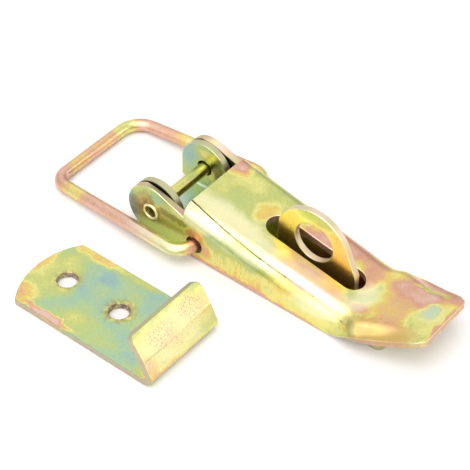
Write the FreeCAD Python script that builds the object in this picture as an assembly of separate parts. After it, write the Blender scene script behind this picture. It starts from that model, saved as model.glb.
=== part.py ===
import FreeCAD, Part
import math
import os

# Over centre toggle latch with a padlock eye, drawn closed, with its catch plate lying beside it.
# Millimetres. Origin on the base's underside, below the pivot. +X toward the thumb tab, +Z up.

os.makedirs("parts", exist_ok=True)
V = FreeCAD.Vector

# Sheet and clearances
SHEET = 2.0            # lever and base
EAR_GAP = 0.3          # between a lever ear and a base ear, each side
SEAT_GAP = 0.3         # lever flange above the mounting surface

# Pivot
LOBE_R = 7.5           # round front of both ears
LOBE_GAP = 0.5         # under the lever's lobe, above the mounting surface
RIVET_R = 1.7
RIVET_FIT = 0.02       # radial, rivet in the lever ears
PIVOT_PLAY = 0.55      # radial, rivet in the base ears
RIVET_HEAD_R = 2.8
RIVET_HEAD_H = 1.0
RIVET_ROLL_R = 2.4     # rolled end on the near side
RIVET_ROLL_H = 0.75
RIVET_BORE_R = 1.15
RIVET_BORE_DEPTH = 2.6

# Lever
LEVER_W = 25.1
TOP_X = 10.4           # front edge of the top
TOP_FALL = 0.18        # fall of the top per mm toward the tab
TAB_RISE = 0.18        # rise of the tab per mm
TAB_X = 58.7           # where the two slopes meet
TAB_BEND_R = 14.0
TAB_END = 79.1
TAB_CORNER_R = 1.6
SLOT_X0 = 27.2
SLOT_X1 = 55.9
SLOT_W = 6.8
FOLD_R = 4.2           # outer radius of the side folds

# Lever past the slot: the flanges die out, the folds open and turn back into a level lip
# along the flat tab. Spread is added to half the lever's width. The edge rises from the seat
# gap in the first sections and lies below the tab's straight line in the others.
TAB_SECTION_X = (50.0, 54.0, 57.0, 60.5, 64.7, 69.0, 73.0, 77.5, 82.0)
TAB_SPREAD = (0.0, 0.0, 0.35, 0.9, 0.25, -0.8, -1.85, -3.05, -4.25)
TAB_EDGE_RISE = (0.0, 0.0, 1.0)
TAB_EDGE_DROP = (3.33, 2.436, 1.76, 1.03, 0.14, 0.15)
TAB_FOLD_R = (4.2, 4.4, 4.6, 4.2, 4.2, 5.0, 6.0, 7.0, 7.0)
TAB_FOLD_ANGLE = (90.0, 90.0, 80.0, 62.0, 42.0, 28.0, 18.0, 6.0, 6.0)
TAB_LIP_R = (3.0, 3.0, 2.8, 2.6, 4.0, 5.0, 6.0, 7.0, 7.0)
TAB_LIP_ANGLE = (90.0, 90.0, 66.0, 35.0, 14.0, 5.0, 2.0, 1.0, 1.0)   # slope left at the edge
TAB_LIP_STUB = 0.4     # straight end of a flange where it has no lip yet
TAB_SIDE_ANGLE = 14.6  # taper of the tab's sides in plan, degrees
TAB_STEP = 2.0         # between drawn sections

# Base
FLOOR_FRONT = -2.4
EAR_REAR = 8.6
BASE_BEND_R = 2.8
FLOOR_SIDE_GAP = 1.25  # between the floor's sides and the lever's flanges
FLOOR_END = 67.8
FLOOR_CORNER_R = 1.8
EAR_TOE_R = 2.2        # round lower front corner of an ear
EAR_TOE_Z = 0.8        # underside of the ear in front of the floor
SCREW_R = 2.75
BASE_SCREW_X = (17.0, 60.5)

# Padlock eye
EYE_T = 1.8
EYE_X0 = 30.1
EYE_X1 = 54.0
EYE_HOLE_X = 41.4
EYE_HOLE_Z = 13.6
EYE_HOLE_R = 5.5
EYE_ARC_X = 41.0
EYE_ARC_Z = 12.2
EYE_ARC_R = 10.7
EYE_LEAN = 0.6         # lean of the eye's front side
EYE_REAR_Z = 9.5       # top of the eye's upright rear side
TENON_W = 4.0
TENON_X = (34.5, 49.5)
TENON_FIT = 0.03       # round the tenon in its slot

# Bail
WIRE_R = 1.7
BAIL_X = 13.4
BAIL_Z = 4.4
BAIL_HOLE_R = 2.4
BAIL_HOLE_SHIFT = 0.3  # the wire sits low and forward in its hole
BAIL_REACH = 45.0      # hinge line to the middle of the bar
BAIL_HALF_HINGE = 18.3
BAIL_HALF_BAR = 15.8
BAIL_TIP = 7.5         # wire ends from the bail's middle line
BAIL_BEND_R = 4.2
BAIL_CORNER_R = (4.2, 6.4)   # near corner and far corner of the bar
BAIL_SIDE_SHIFT = 1.5 # the bail lies this far over in its play

# Catch plate
CATCH_T = 1.8
CATCH_W = 24.4
CATCH_Y = -39.65
CATCH_APEX_X = -13.75
CATCH_ARC_RISE = 4.1
CATCH_HOLE_X0 = -4.3
CATCH_HOLE_SHIFT = 0.6   # the holes sit off the plate's middle line
CATCH_HOLE_STEP = 16.8
CATCH_END_X = 33.5
CATCH_BEND_R = 2.6
HOOK_TOP_Z = 13.5
HOOK_CREASE_Z = 7.6
HOOK_LEAN = 25.0       # degrees past upright, up to the crease
HOOK_LEAN_TOP = 34.0   # and above it
HOOK_CORNER_R = 2.2

PIVOT_Z = LOBE_R + LOBE_GAP
TOP_Z = PIVOT_Z + LOBE_R   # top surface at its front edge
HALF = LEVER_W / 2
LEVER_IN = HALF - SHEET
BASE_HALF = LEVER_IN - EAR_GAP
BASE_IN = BASE_HALF - SHEET
BASE_HOLE_R = RIVET_R + PIVOT_PLAY
FLOOR_HALF = LEVER_IN - FLOOR_SIDE_GAP
TAB_Z = TOP_Z - TOP_FALL * (TAB_X - TOP_X)   # where the two slopes meet


def wire(edges):
    return Part.Wire(Part.__sortEdges__(edges))


def polygon(points):
    return Part.makePolygon([V(*p) for p in points] + [V(*points[0])])


def arc(a, b, c):
    return Part.Arc(V(*a), V(*b), V(*c)).toShape()


def line(a, b):
    return Part.makeLine(V(*a), V(*b))


def box(x0, x1, y0, y1, z0, z1):
    return Part.makeBox(x1 - x0, y1 - y0, z1 - z0, V(x0, y0, z0))


def bore_y(x, z, r, y0, y1):
    return Part.makeCylinder(r, y1 - y0, V(x, y0, z), V(0, 1, 0))


def bore_z(x, y, r, z0, z1):
    return Part.makeCylinder(r, z1 - z0, V(x, y, z0), V(0, 0, 1))


def prism_y(face_wire, y0, y1):
    face = Part.Face(face_wire)
    face.translate(V(0, y0, 0))
    return face.extrude(V(0, y1 - y0, 0))


def both_sides(make):
    return make(-1).fuse(make(1))


def side_plate(profile, side, y_in, y_out):
    y0, y1 = sorted((side * y_in, side * y_out))
    return prism_y(profile, y0, y1)


def tangent_point(cx, cz, r, px, pz, upper):
    """Point where the line from (px, pz) touches the circle, on its upper or lower side."""
    dx, dz = px - cx, pz - cz
    d = math.hypot(dx, dz)
    turn = math.acos(r / d) * (1 if upper else -1)
    a = math.atan2(dz, dx) + turn
    return cx + r * math.cos(a), cz + r * math.sin(a)


# Lever

def tab_line(x):
    return TAB_Z + TAB_RISE * (x - TAB_X)


def top_line(x):
    """Height of the lever's top surface along its middle, with a round bend into the tab."""
    a = math.atan(TOP_FALL)
    b = math.atan(TAB_RISE)
    reach = TAB_BEND_R * math.tan((a + b) / 2)
    x0 = TAB_X - reach * math.cos(a)
    x1 = TAB_X + reach * math.cos(b)
    if x <= x0:
        return TOP_Z - TOP_FALL * (x - TOP_X)
    if x >= x1:
        return tab_line(x)
    cx = x0 + TAB_BEND_R * math.sin(a)
    cz = TAB_Z + reach * math.sin(a) + TAB_BEND_R * math.cos(a)
    return cz - math.sqrt(TAB_BEND_R ** 2 - (x - cx) ** 2)


# Sections of the tab: x, half width at the edge, height of the edge, radius and angle of the
# fold, radius of the lip and slope at its edge
EDGE_Z = [SEAT_GAP + rise for rise in TAB_EDGE_RISE]
EDGE_Z += [tab_line(x) - drop for x, drop in zip(TAB_SECTION_X[len(EDGE_Z):], TAB_EDGE_DROP)]
SECTIONS = [
    (x, HALF + spread, edge_z, r, angle, lip_r, lip)
    for x, spread, edge_z, r, angle, lip_r, lip in zip(
        TAB_SECTION_X, TAB_SPREAD, EDGE_Z, TAB_FOLD_R, TAB_FOLD_ANGLE, TAB_LIP_R,
        TAB_LIP_ANGLE)
]


def smooth_section(x):
    """The section at x, on a smooth curve through the listed ones, level where it starts."""
    t = SECTIONS
    i = max(k for k in range(len(t) - 1) if t[k][0] <= x + 1e-9)
    x0, x1 = t[i][0], t[i + 1][0]
    u = (x - x0) / (x1 - x0)
    out = [x]
    for c in range(1, 7):
        lo = t[max(i - 1, 0)]
        hi = t[min(i + 2, len(t) - 1)]
        m0 = (t[i + 1][c] - lo[c]) / (x1 - lo[0]) * (x1 - x0)
        m1 = (hi[c] - t[i][c]) / (hi[0] - x0) * (x1 - x0)
        if i == 0:
            m0 = 0.0
        v = ((2 * u ** 3 - 3 * u ** 2 + 1) * t[i][c] + (u ** 3 - 2 * u ** 2 + u) * m0
             + (3 * u ** 2 - 2 * u ** 3) * t[i + 1][c] + (u ** 3 - u ** 2) * m1)
        out.append(v)
    out[4] = min(out[4], 90.0)
    out[6] = min(out[6], out[4])
    return tuple(out)


def lever_section(x, half, edge_z, r, angle, lip_r=0.0, lip=90.0):
    """Outline of the sheet across the lever: top, folds, flanges and their lips."""
    a, e = math.radians(angle), math.radians(lip)
    s, c = math.sin(a), math.cos(a)
    z = top_line(x)
    leg = (z - edge_z - r * (1 - c) - lip_r * (math.cos(e) - c)) / s
    flat = half - r * s - leg * c - lip_r * (s - math.sin(e))
    no_lip = a - e < 1e-6
    if no_lip:
        leg -= TAB_LIP_STUB

    def fold_point(side, depth, turn):
        rad = r - depth
        return x, side * (flat + rad * math.sin(turn)), z - r + rad * math.cos(turn)

    def leg_point(side, depth, run):
        y = flat + (r - depth) * s + run * c
        return x, side * y, z - r + (r - depth) * c - run * s

    def lip_point(side, depth, turn):
        y = flat + (r + lip_r) * s + leg * c - (lip_r + depth) * math.sin(turn)
        h = z - r + (r + lip_r) * c - leg * s - (lip_r + depth) * math.cos(turn)
        return x, side * y, h

    def run_points(side, depth):
        if no_lip:
            end = leg + TAB_LIP_STUB
            tail = [leg_point(side, depth, end - TAB_LIP_STUB / 2), leg_point(side, depth, end)]
        else:
            tail = [lip_point(side, depth, (a + e) / 2), lip_point(side, depth, e)]
        return [fold_point(side, depth, 0), fold_point(side, depth, a / 2),
                fold_point(side, depth, a), leg_point(side, depth, leg)] + tail

    def run_edges(p):
        turn_back = line(p[3], p[5]) if no_lip else arc(p[3], p[4], p[5])
        return [arc(p[0], p[1], p[2]), line(p[2], p[3]), turn_back]
    outer_l, outer_r = run_points(-1, 0), run_points(1, 0)
    inner_l, inner_r = run_points(-1, SHEET), run_points(1, SHEET)
    edges = run_edges(outer_l)[::-1] + [line(outer_l[0], outer_r[0])] + run_edges(outer_r)
    edges += [line(outer_r[5], inner_r[5])] + run_edges(inner_r)[::-1]
    edges += [line(inner_r[0], inner_l[0])] + run_edges(inner_l) + [line(inner_l[5], outer_l[5])]
    return Part.Wire(edges)


def ear_profile():
    """Front of a lever flange: a round lobe about the pivot, run back to the top's front edge."""
    lap = SHEET / 2
    back = TOP_X + lap
    shoulder = (TOP_X, TOP_Z - FOLD_R)
    low = shoulder[1] - lap
    tx, tz = tangent_point(0, PIVOT_Z, LOBE_R, shoulder[0], shoulder[1], True)
    bx, bz = tangent_point(0, PIVOT_Z, LOBE_R, TOP_X, SEAT_GAP, False)
    edges = [
        line((bx, 0, bz), (TOP_X, 0, SEAT_GAP)),
        line((TOP_X, 0, SEAT_GAP), (back, 0, SEAT_GAP)),
        line((back, 0, SEAT_GAP), (back, 0, low)),
        line((back, 0, low), (TOP_X, 0, shoulder[1])),
        line((TOP_X, 0, shoulder[1]), (tx, 0, tz)),
        arc((tx, 0, tz), (-LOBE_R, 0, PIVOT_Z), (bx, 0, bz)),
    ]
    return wire(edges)


def obround_z(x0, x1, w, z0, z1):
    r = w / 2
    mid = box(x0 + r, x1 - r, -r, r, z0, z1)
    return mid.fuse([bore_z(x0 + r, 0, r, z0, z1), bore_z(x1 - r, 0, r, z0, z1)]).removeSplitter()


def tab_cutter():
    """What is left of a plate beyond the tab's end, with two round corners."""
    r = TAB_CORNER_R
    taper = math.tan(math.radians(TAB_SIDE_ANGLE))
    half = SECTIONS[-2][1] - taper * (TAB_END - SECTIONS[-2][0])
    wide = half + taper * (TAB_END - TAB_X)
    wedge = polygon([(TAB_END, -half, -HALF), (TAB_END, half, -HALF),
                     (TAB_X, wide, -HALF), (TAB_X, -wide, -HALF)])
    plan = Part.Face(wedge).extrude(V(0, 0, LEVER_W))
    corner = [e for e in plan.Edges
              if e.BoundBox.ZLength > HALF and abs(e.BoundBox.XMin - TAB_END) < 1e-6]
    plan = plan.makeFillet(r, corner)
    block = box(TAB_END - 2 * r, TAB_END + HALF, -LEVER_W, LEVER_W, -HALF, HALF).cut(plan)
    block.rotate(V(TAB_END, 0, 0), V(0, 1, 0), -math.degrees(math.atan(TAB_RISE)))
    block.translate(V(0, 0, top_line(TAB_END)))
    return block


def make_lever():
    x0, x1 = SECTIONS[0][0], SECTIONS[-1][0]
    run = x0 - TOP_X
    drop = TOP_FALL * run
    deep = lever_section(x0, HALF, SEAT_GAP - drop - SHEET, FOLD_R, 90.0)
    channel = Part.Face(deep).extrude(V(-run, 0, drop))
    channel = channel.cut(box(0, x0 + SHEET, -LEVER_W, LEVER_W, -LEVER_W, SEAT_GAP))
    first = lever_section(*SECTIONS[0])
    count = int((x1 - x0) / TAB_STEP)
    wires = [first] + [lever_section(*smooth_section(x0 + (x1 - x0) * i / count))
                       for i in range(1, count + 1)]
    tab = Part.makeLoft(wires, True, True)
    shell = channel.fuse(tab)
    profile = ear_profile()
    ears = both_sides(lambda s: side_plate(profile, s, LEVER_IN, HALF))
    body = shell.fuse(ears)
    body = body.cut(tab_cutter())
    body = body.cut(obround_z(SLOT_X0, SLOT_X1, SLOT_W, 0, TOP_Z + SHEET))
    body = body.cut(bore_y(0, PIVOT_Z, RIVET_R + RIVET_FIT, -LEVER_W, LEVER_W))
    body = body.cut(bore_y(BAIL_X + BAIL_HOLE_SHIFT, BAIL_Z + BAIL_HOLE_SHIFT, BAIL_HOLE_R,
                           -LEVER_W, LEVER_W))
    return body


# Base

def base_ear_profile():
    """Ear of the base: lobe about the pivot, upright front, raked rear down to the floor."""
    lead, low = EAR_TOE_R, EAR_TOE_Z
    tx, tz = tangent_point(0, PIVOT_Z, LOBE_R, EAR_REAR, SHEET, True)
    k = lead * (1 - math.sqrt(0.5))
    edges = [
        arc((tx, 0, tz), (0, 0, PIVOT_Z + LOBE_R), (-LOBE_R, 0, PIVOT_Z)),
        line((-LOBE_R, 0, PIVOT_Z), (-LOBE_R, 0, low + lead)),
        arc((-LOBE_R, 0, low + lead), (-LOBE_R + k, 0, low + k), (-LOBE_R + lead, 0, low)),
        line((-LOBE_R + lead, 0, low), (FLOOR_FRONT, 0, low)),
        line((FLOOR_FRONT, 0, low), (FLOOR_FRONT, 0, 0)),
        line((FLOOR_FRONT, 0, 0), (EAR_REAR, 0, 0)),
        line((EAR_REAR, 0, 0), (EAR_REAR, 0, SHEET)),
        line((EAR_REAR, 0, SHEET), (tx, 0, tz)),
    ]
    return wire(edges)


def channel():
    """Floor and upright sides round the pivot, folded from one sheet."""
    x0, x1 = -LOBE_R - 1, EAR_REAR
    top = PIVOT_Z + LOBE_R + 1
    outer = box(x0, x1, -BASE_HALF, BASE_HALF, 0, top)
    low = [e for e in outer.Edges if e.BoundBox.XLength > 5 and e.BoundBox.ZMax < 1e-6]
    outer = outer.makeFillet(BASE_BEND_R, low)
    inner = box(x0 - 1, x1 + 1, -BASE_IN, BASE_IN, SHEET, top + 1)
    low = [e for e in inner.Edges if e.BoundBox.XLength > 5 and e.BoundBox.ZMax < SHEET + 1e-6]
    inner = inner.makeFillet(BASE_BEND_R - SHEET, low)
    return outer.cut(inner)


def make_base():
    ears = channel().common(prism_y(base_ear_profile(), -BASE_HALF - 1, BASE_HALF + 1))
    front_gap = box(-LOBE_R - 2, FLOOR_FRONT, -BASE_IN, BASE_IN, -1, SHEET + 1)
    ears = ears.cut(front_gap)
    floor = box(EAR_REAR, FLOOR_END, -FLOOR_HALF, FLOOR_HALF, 0, SHEET)
    corners = [e for e in floor.Edges
               if e.BoundBox.XMin > FLOOR_END - 1e-6 and e.BoundBox.YLength < 1e-6]
    body = ears.fuse(floor.makeFillet(FLOOR_CORNER_R, corners)).removeSplitter()
    for x in BASE_SCREW_X:
        body = body.cut(bore_z(x, 0, SCREW_R, -1, SHEET + 1))
    for x in TENON_X:
        w, t = TENON_W / 2 + TENON_FIT, EYE_T / 2 + TENON_FIT
        body = body.cut(box(x - w, x + w, -t, t, -1, SHEET + 1))
    return body.cut(bore_y(0, PIVOT_Z, BASE_HOLE_R, -BASE_HALF - 1, BASE_HALF + 1))


# Padlock eye

def make_eye():
    y0, y1 = -EYE_T / 2, EYE_T / 2
    foot = SHEET
    left_z = EYE_ARC_Z + math.sqrt(EYE_ARC_R ** 2 - (EYE_ARC_X - EYE_X0 - EYE_LEAN) ** 2)
    right_low = (EYE_X1, EYE_REAR_Z)
    rx, rz = tangent_point(EYE_ARC_X, EYE_ARC_Z, EYE_ARC_R, right_low[0], right_low[1], True)
    edges = [
        line((EYE_X0, 0, foot), (EYE_X1, 0, foot)),
        line((EYE_X1, 0, foot), (right_low[0], 0, right_low[1])),
        line((right_low[0], 0, right_low[1]), (rx, 0, rz)),
        arc((rx, 0, rz), (EYE_ARC_X, 0, EYE_ARC_Z + EYE_ARC_R), (EYE_X0 + EYE_LEAN, 0, left_z)),
        line((EYE_X0 + EYE_LEAN, 0, left_z), (EYE_X0, 0, foot)),
    ]
    body = prism_y(wire(edges), y0, y1)
    body = body.fuse([box(x - TENON_W / 2, x + TENON_W / 2, y0, y1, 0, foot) for x in TENON_X])
    body = body.removeSplitter()
    return body.cut(bore_y(EYE_HOLE_X, EYE_HOLE_Z, EYE_HOLE_R, -5, 5))


# Rivet

def make_rivet():
    """Semi-tubular rivet: low head on the far side, rolled hollow end on the near side."""
    head_r, head_h = RIVET_HEAD_R, RIVET_HEAD_H
    roll_r, roll_h, bore_r = RIVET_ROLL_R, RIVET_ROLL_H, RIVET_BORE_R
    near, far = -HALF, HALF
    lip = (roll_r - bore_r) / 4
    profile = polygon([
        (0, near + RIVET_BORE_DEPTH, 0),
        (bore_r, near + RIVET_BORE_DEPTH, 0),
        (bore_r, near - roll_h + lip, 0),
        (bore_r + lip, near - roll_h, 0),
        (roll_r - lip, near - roll_h, 0),
        (roll_r, near - roll_h + lip, 0),
        (roll_r, near, 0),
        (RIVET_R, near, 0),
        (RIVET_R, far, 0),
        (head_r, far, 0),
        (head_r, far + head_h * 0.45, 0),
        (head_r * 0.82, far + head_h * 0.85, 0),
        (head_r * 0.5, far + head_h, 0),
        (0, far + head_h, 0),
    ])
    body = Part.Face(profile).revolve(V(0, 0, 0), V(0, 1, 0), 360)
    body.translate(V(0, 0, PIVOT_Z))
    return body


# Bail

def bent_wire(points, radii, wire_r):
    """Round wire through the points: straight lengths, with a round bend at each inner point."""
    lengths = []
    start = V(*points[0])
    for i in range(1, len(points) - 1):
        p, a, b = V(*points[i]), V(*points[i - 1]), V(*points[i + 1])
        to_a, to_b = (a - p).normalize(), (b - p).normalize()
        half = to_a.getAngle(to_b) / 2
        run = radii[i - 1] / math.tan(half)
        bend_start, bend_end = p + to_a * run, p + to_b * run
        centre = p + (to_a + to_b).normalize() * (radii[i - 1] / math.sin(half))
        lengths.append(round_bar(start, bend_start, wire_r))
        disc = Part.Face(Part.Wire(Part.Circle(bend_start, to_a, wire_r).toShape()))
        lengths.append(disc.revolve(centre, to_b.cross(to_a), 180 - math.degrees(2 * half)))
        start = bend_end
    lengths.append(round_bar(start, V(*points[-1]), wire_r))
    return lengths[0].fuse(lengths[1:])


def round_bar(a, b, r):
    return Part.makeCylinder(r, (b - a).Length, a, b - a)


def make_bail():
    points = [(0, -BAIL_TIP, 0), (0, -BAIL_HALF_HINGE, 0), (-BAIL_REACH, -BAIL_HALF_BAR, 0),
              (-BAIL_REACH, BAIL_HALF_BAR, 0), (0, BAIL_HALF_HINGE, 0), (0, BAIL_TIP, 0)]
    radii = [BAIL_BEND_R, BAIL_CORNER_R[0], BAIL_CORNER_R[1], BAIL_BEND_R]
    body = bent_wire(points, radii, WIRE_R)
    drop = math.degrees(math.asin((BAIL_Z - WIRE_R) / BAIL_REACH))
    body.rotate(V(0, 0, 0), V(0, 1, 0), -drop)
    body.translate(V(BAIL_X, BAIL_SIDE_SHIFT, BAIL_Z))
    return body


# Catch plate

def make_catch():
    half = CATCH_W / 2
    y0, y1 = CATCH_Y - half, CATCH_Y + half
    ro, ri = CATCH_BEND_R, CATCH_BEND_R - CATCH_T
    cx, cz = CATCH_END_X - ro, ro
    lean, lean2 = math.radians(HOOK_LEAN), math.radians(HOOK_LEAN_TOP)

    def on_bend(r, angle):
        return cx + r * math.cos(angle), 0, cz + r * math.sin(angle)

    def up(p, z, a):
        return p[0] - (z - p[2]) * math.tan(a), 0, z
    outer0 = on_bend(ro, lean)
    outer1 = up(outer0, HOOK_CREASE_Z, lean)
    outer2 = up(outer1, HOOK_TOP_Z, lean2)
    inner0 = on_bend(ri, lean)
    crease = (lean + lean2) / 2
    k = CATCH_T / math.cos((lean2 - lean) / 2)
    inner1 = (outer1[0] - k * math.cos(crease), 0, outer1[2] - k * math.sin(crease))
    inner2 = (outer2[0] - CATCH_T * math.cos(lean2), 0, outer2[2] - CATCH_T * math.sin(lean2))
    mid = (lean - math.pi / 2) / 2
    edges = [
        line((CATCH_APEX_X, 0, 0), on_bend(ro, -math.pi / 2)),
        arc(on_bend(ro, -math.pi / 2), on_bend(ro, mid), outer0),
        line(outer0, outer1),
        line(outer1, outer2),
        line(outer2, inner2),
        line(inner2, inner1),
        line(inner1, inner0),
        arc(inner0, on_bend(ri, mid), on_bend(ri, -math.pi / 2)),
        line(on_bend(ri, -math.pi / 2), (CATCH_APEX_X, 0, CATCH_T)),
        line((CATCH_APEX_X, 0, CATCH_T), (CATCH_APEX_X, 0, 0)),
    ]
    body = prism_y(wire(edges), y0, y1)
    corner_x = CATCH_APEX_X + CATCH_ARC_RISE
    plan = wire([
        arc((corner_x, y0, 0), (CATCH_APEX_X, CATCH_Y, 0), (corner_x, y1, 0)),
        line((corner_x, y1, 0), (CATCH_END_X + 1, y1, 0)),
        line((CATCH_END_X + 1, y1, 0), (CATCH_END_X + 1, y0, 0)),
        line((CATCH_END_X + 1, y0, 0), (corner_x, y0, 0)),
    ])
    body = body.common(Part.Face(plan).extrude(V(0, 0, HOOK_TOP_Z + 1)))
    tips = [e for e in body.Edges
            if e.BoundBox.ZMax > HOOK_TOP_Z - 1e-6 and e.BoundBox.YLength < 1e-6
            and e.BoundBox.ZMin > HOOK_TOP_Z - CATCH_T]
    body = body.makeFillet(HOOK_CORNER_R, tips)
    for i in range(2):
        x = CATCH_HOLE_X0 + i * CATCH_HOLE_STEP
        body = body.cut(bore_z(x, CATCH_Y + CATCH_HOLE_SHIFT, SCREW_R, -1, CATCH_T + 1))
    return body


NODES = {
    "base_plate": make_base,
    "padlock_eye": make_eye,
    "lever": make_lever,
    "pivot_rivet": make_rivet,
    "wire_bail": make_bail,
    "catch_plate": make_catch,
}

for name, make in NODES.items():
    shape = make()
    solids = shape.Solids
    if len(solids) != 1 or not shape.isValid():
        raise RuntimeError("%s: %d solids, valid %s" % (name, len(solids), shape.isValid()))
    b = shape.optimalBoundingBox(False)
    print("%s x %.2f..%.2f y %.2f..%.2f z %.2f..%.2f volume %.0f" % (
        name, b.XMin, b.XMax, b.YMin, b.YMax, b.ZMin, b.ZMax, shape.Volume))
    solids[0].exportStep("parts/%s.step" % name)
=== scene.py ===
import math

import bmesh
import bpy
from bpy.props import FloatProperty, FloatVectorProperty, PointerProperty
from mathutils import Matrix, Vector


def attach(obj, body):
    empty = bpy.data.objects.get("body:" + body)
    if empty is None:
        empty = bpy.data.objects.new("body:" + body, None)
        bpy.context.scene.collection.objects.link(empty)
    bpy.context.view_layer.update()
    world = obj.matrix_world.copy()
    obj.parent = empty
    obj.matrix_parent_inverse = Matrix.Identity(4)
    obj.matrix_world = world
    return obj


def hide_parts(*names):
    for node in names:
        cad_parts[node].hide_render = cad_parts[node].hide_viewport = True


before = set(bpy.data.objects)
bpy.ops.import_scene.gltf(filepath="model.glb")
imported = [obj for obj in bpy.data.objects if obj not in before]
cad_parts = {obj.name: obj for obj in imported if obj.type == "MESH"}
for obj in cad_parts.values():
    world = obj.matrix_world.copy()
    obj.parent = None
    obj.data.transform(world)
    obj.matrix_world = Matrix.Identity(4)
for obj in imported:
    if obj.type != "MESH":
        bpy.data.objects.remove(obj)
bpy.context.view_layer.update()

bl_info = {
    "name": "Over centre toggle latch",
    "version": (1, 0, 0),
    "blender": (4, 5, 0),
    "location": "View3D > Sidebar > Latch",
    "description": "Builds a pressed steel toggle latch, its bail and its catch plate",
    "category": "Add Mesh",
}

MM = 0.001


# Sizes in millimetres, as the solids have them, apart from the round edges, FRONT_FOLD_R,
# BAIL_FAR_BEND_R and CATCH_HOLE_R, which are the scene's own

EDGE, EDGE_BASE, EDGE_EYE = 0.22, 0.2, 0.3      # round of the cut edges; the catch plate has the first
RELIEF = 0.1       # cut beside the base's ears
SHEET = 2.0
HALF = 12.55       # over the lever's flanges, from the middle
SEAT_GAP = 0.3     # under the lever's flanges
EAR_GAP = 0.3      # between an ear of the lever and one of the base
LOBE_R = 7.5       # round end of the ears
PIVOT_Z = LOBE_R + 0.5
TOP_X, TOP_Z, TOP_FALL = 10.4, PIVOT_Z + LOBE_R, 0.18
TAB_X, TAB_RISE, TAB_BEND_R, TAB_END, TAB_CORNER_R = 58.7, 0.18, 14.0, 79.1, 1.6
SLOT_X0, SLOT_X1, SLOT_W = 27.2, 55.9, 6.8
FLOOR_FRONT, EAR_REAR = -2.4, 8.6
EAR_TOE_R, EAR_TOE_Z = 2.2, 0.8
BASE_HALF = HALF - SHEET - EAR_GAP
BASE_BEND_R = 2.8
FLOOR_HALF, FLOOR_END, FLOOR_CORNER_R = 9.3, 67.8, 1.8
SCREW_R = 2.75
BASE_SCREWS = (17.0, 60.5)
RIVET_R, RIVET_FIT, RIVET_HEAD_R, RIVET_HEAD_H, RIVET_ROLL_R = 1.7, 0.02, 2.8, 1.0, 2.4
PLAY_R = RIVET_R + 0.55         # holes in the base's ears
BAIL_HOLE = (13.7, 4.7, 2.4)    # x, z and radius

EYE_HOLE = (41.4, 13.6, 5.5)    # the same
EYE_ARC = (41.0, 12.2, 10.7)
EYE_T = 1.8
EYE_X0, EYE_X1 = 30.1, 54.0
EYE_LEAN, EYE_REAR_Z = 0.6, 9.5
TENON_W, TENON_X, TENON_FIT, TENON_END = 4.0, (34.5, 49.5), 0.03, 0.02

WIRE_R = 1.7
BAIL_X, BAIL_Z = 13.4, 4.4
BAIL_REACH, BAIL_HALF_HINGE, BAIL_HALF_BAR = 45.0, 18.3, 15.8
BAIL_BEND_R, BAIL_FAR_BEND_R, BAIL_CORNER_R = 4.2, 6.0, (4.2, 6.4)
BAIL_TIP, BAIL_SIDE_SHIFT = 7.5, 1.5

CATCH_T, CATCH_HALF, CATCH_Y = 1.8, 12.2, -39.65
CATCH_APEX_X, CATCH_ARC_RISE, CATCH_END_X, CATCH_BEND_R = -13.75, 4.1, 33.5, 2.6
CATCH_HOLES, CATCH_HOLE_R = ((-4.3, -39.05), (12.5, -39.05)), SCREW_R - 0.17
HOOK_TOP_Z, HOOK_CREASE_Z, HOOK_CREASE_R, HOOK_CORNER_R = 13.5, 7.6, 1.5, 2.2
HOOK_LEAN, HOOK_LEAN_TOP = 25.0, 34.0


# Blanks: flat outlines that are cut, rounded at their edges and then folded

def arc_points(cx, cy, r, start, end, steps):
    """Points on an arc, angles in degrees, both ends included."""
    return [(cx + r * math.cos(math.radians(start + (end - start) * i / steps)),
             cy + r * math.sin(math.radians(start + (end - start) * i / steps)))
            for i in range(steps + 1)]


def circle_points(cx, cy, r, steps=36):
    return arc_points(cx, cy, r, 0, 360, steps)[:-1]


def divide_open(points, step):
    """A path with no length longer than step."""
    out = []
    for a, b in zip(points, points[1:]):
        n = math.ceil(math.hypot(b[0] - a[0], b[1] - a[1]) / step - 1e-6)
        out += [(a[0] + (b[0] - a[0]) * k / n, a[1] + (b[1] - a[1]) * k / n) for k in range(n)]
    return out + [points[-1]]


def divide(points, step):
    """A closed outline with no side longer than step."""
    return divide_open(points + points[:1], step)[:-1]


def blank(outlines, thickness, edge=EDGE, rings=3):
    """A flat plate as a bmesh in millimetres, with round edges."""
    curve = bpy.data.curves.new("blank", "CURVE")
    curve.dimensions = "2D"
    curve.fill_mode = "BOTH"
    curve.extrude = thickness / 2 - edge
    curve.bevel_depth = edge
    curve.bevel_resolution = rings
    curve.offset = -edge
    for points in outlines:
        spline = curve.splines.new("POLY")
        spline.points.add(len(points) - 1)
        for p, (x, y) in zip(spline.points, points):
            p.co = (x, y, 0, 1)
        spline.use_cyclic_u = True
    holder = bpy.data.objects.new("blank", curve)
    mesh = bpy.data.meshes.new_from_object(holder)
    bpy.data.objects.remove(holder)
    bpy.data.curves.remove(curve)
    bm = bmesh.new()
    bm.from_mesh(mesh)
    bpy.data.meshes.remove(mesh)
    bmesh.ops.remove_doubles(bm, verts=bm.verts, dist=0.002)
    bmesh.ops.recalc_face_normals(bm, faces=bm.faces)
    return bm


def slice_across(bm, axis, places):
    """Cuts the blank along lines, so that it can follow a bend."""
    normal = Vector((1, 0, 0)) if axis == "x" else Vector((0, 1, 0))
    for place in places:
        geom = bm.verts[:] + bm.edges[:] + bm.faces[:]
        bmesh.ops.bisect_plane(bm, geom=geom, dist=0.0005, plane_co=normal * place, plane_no=normal)


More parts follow.
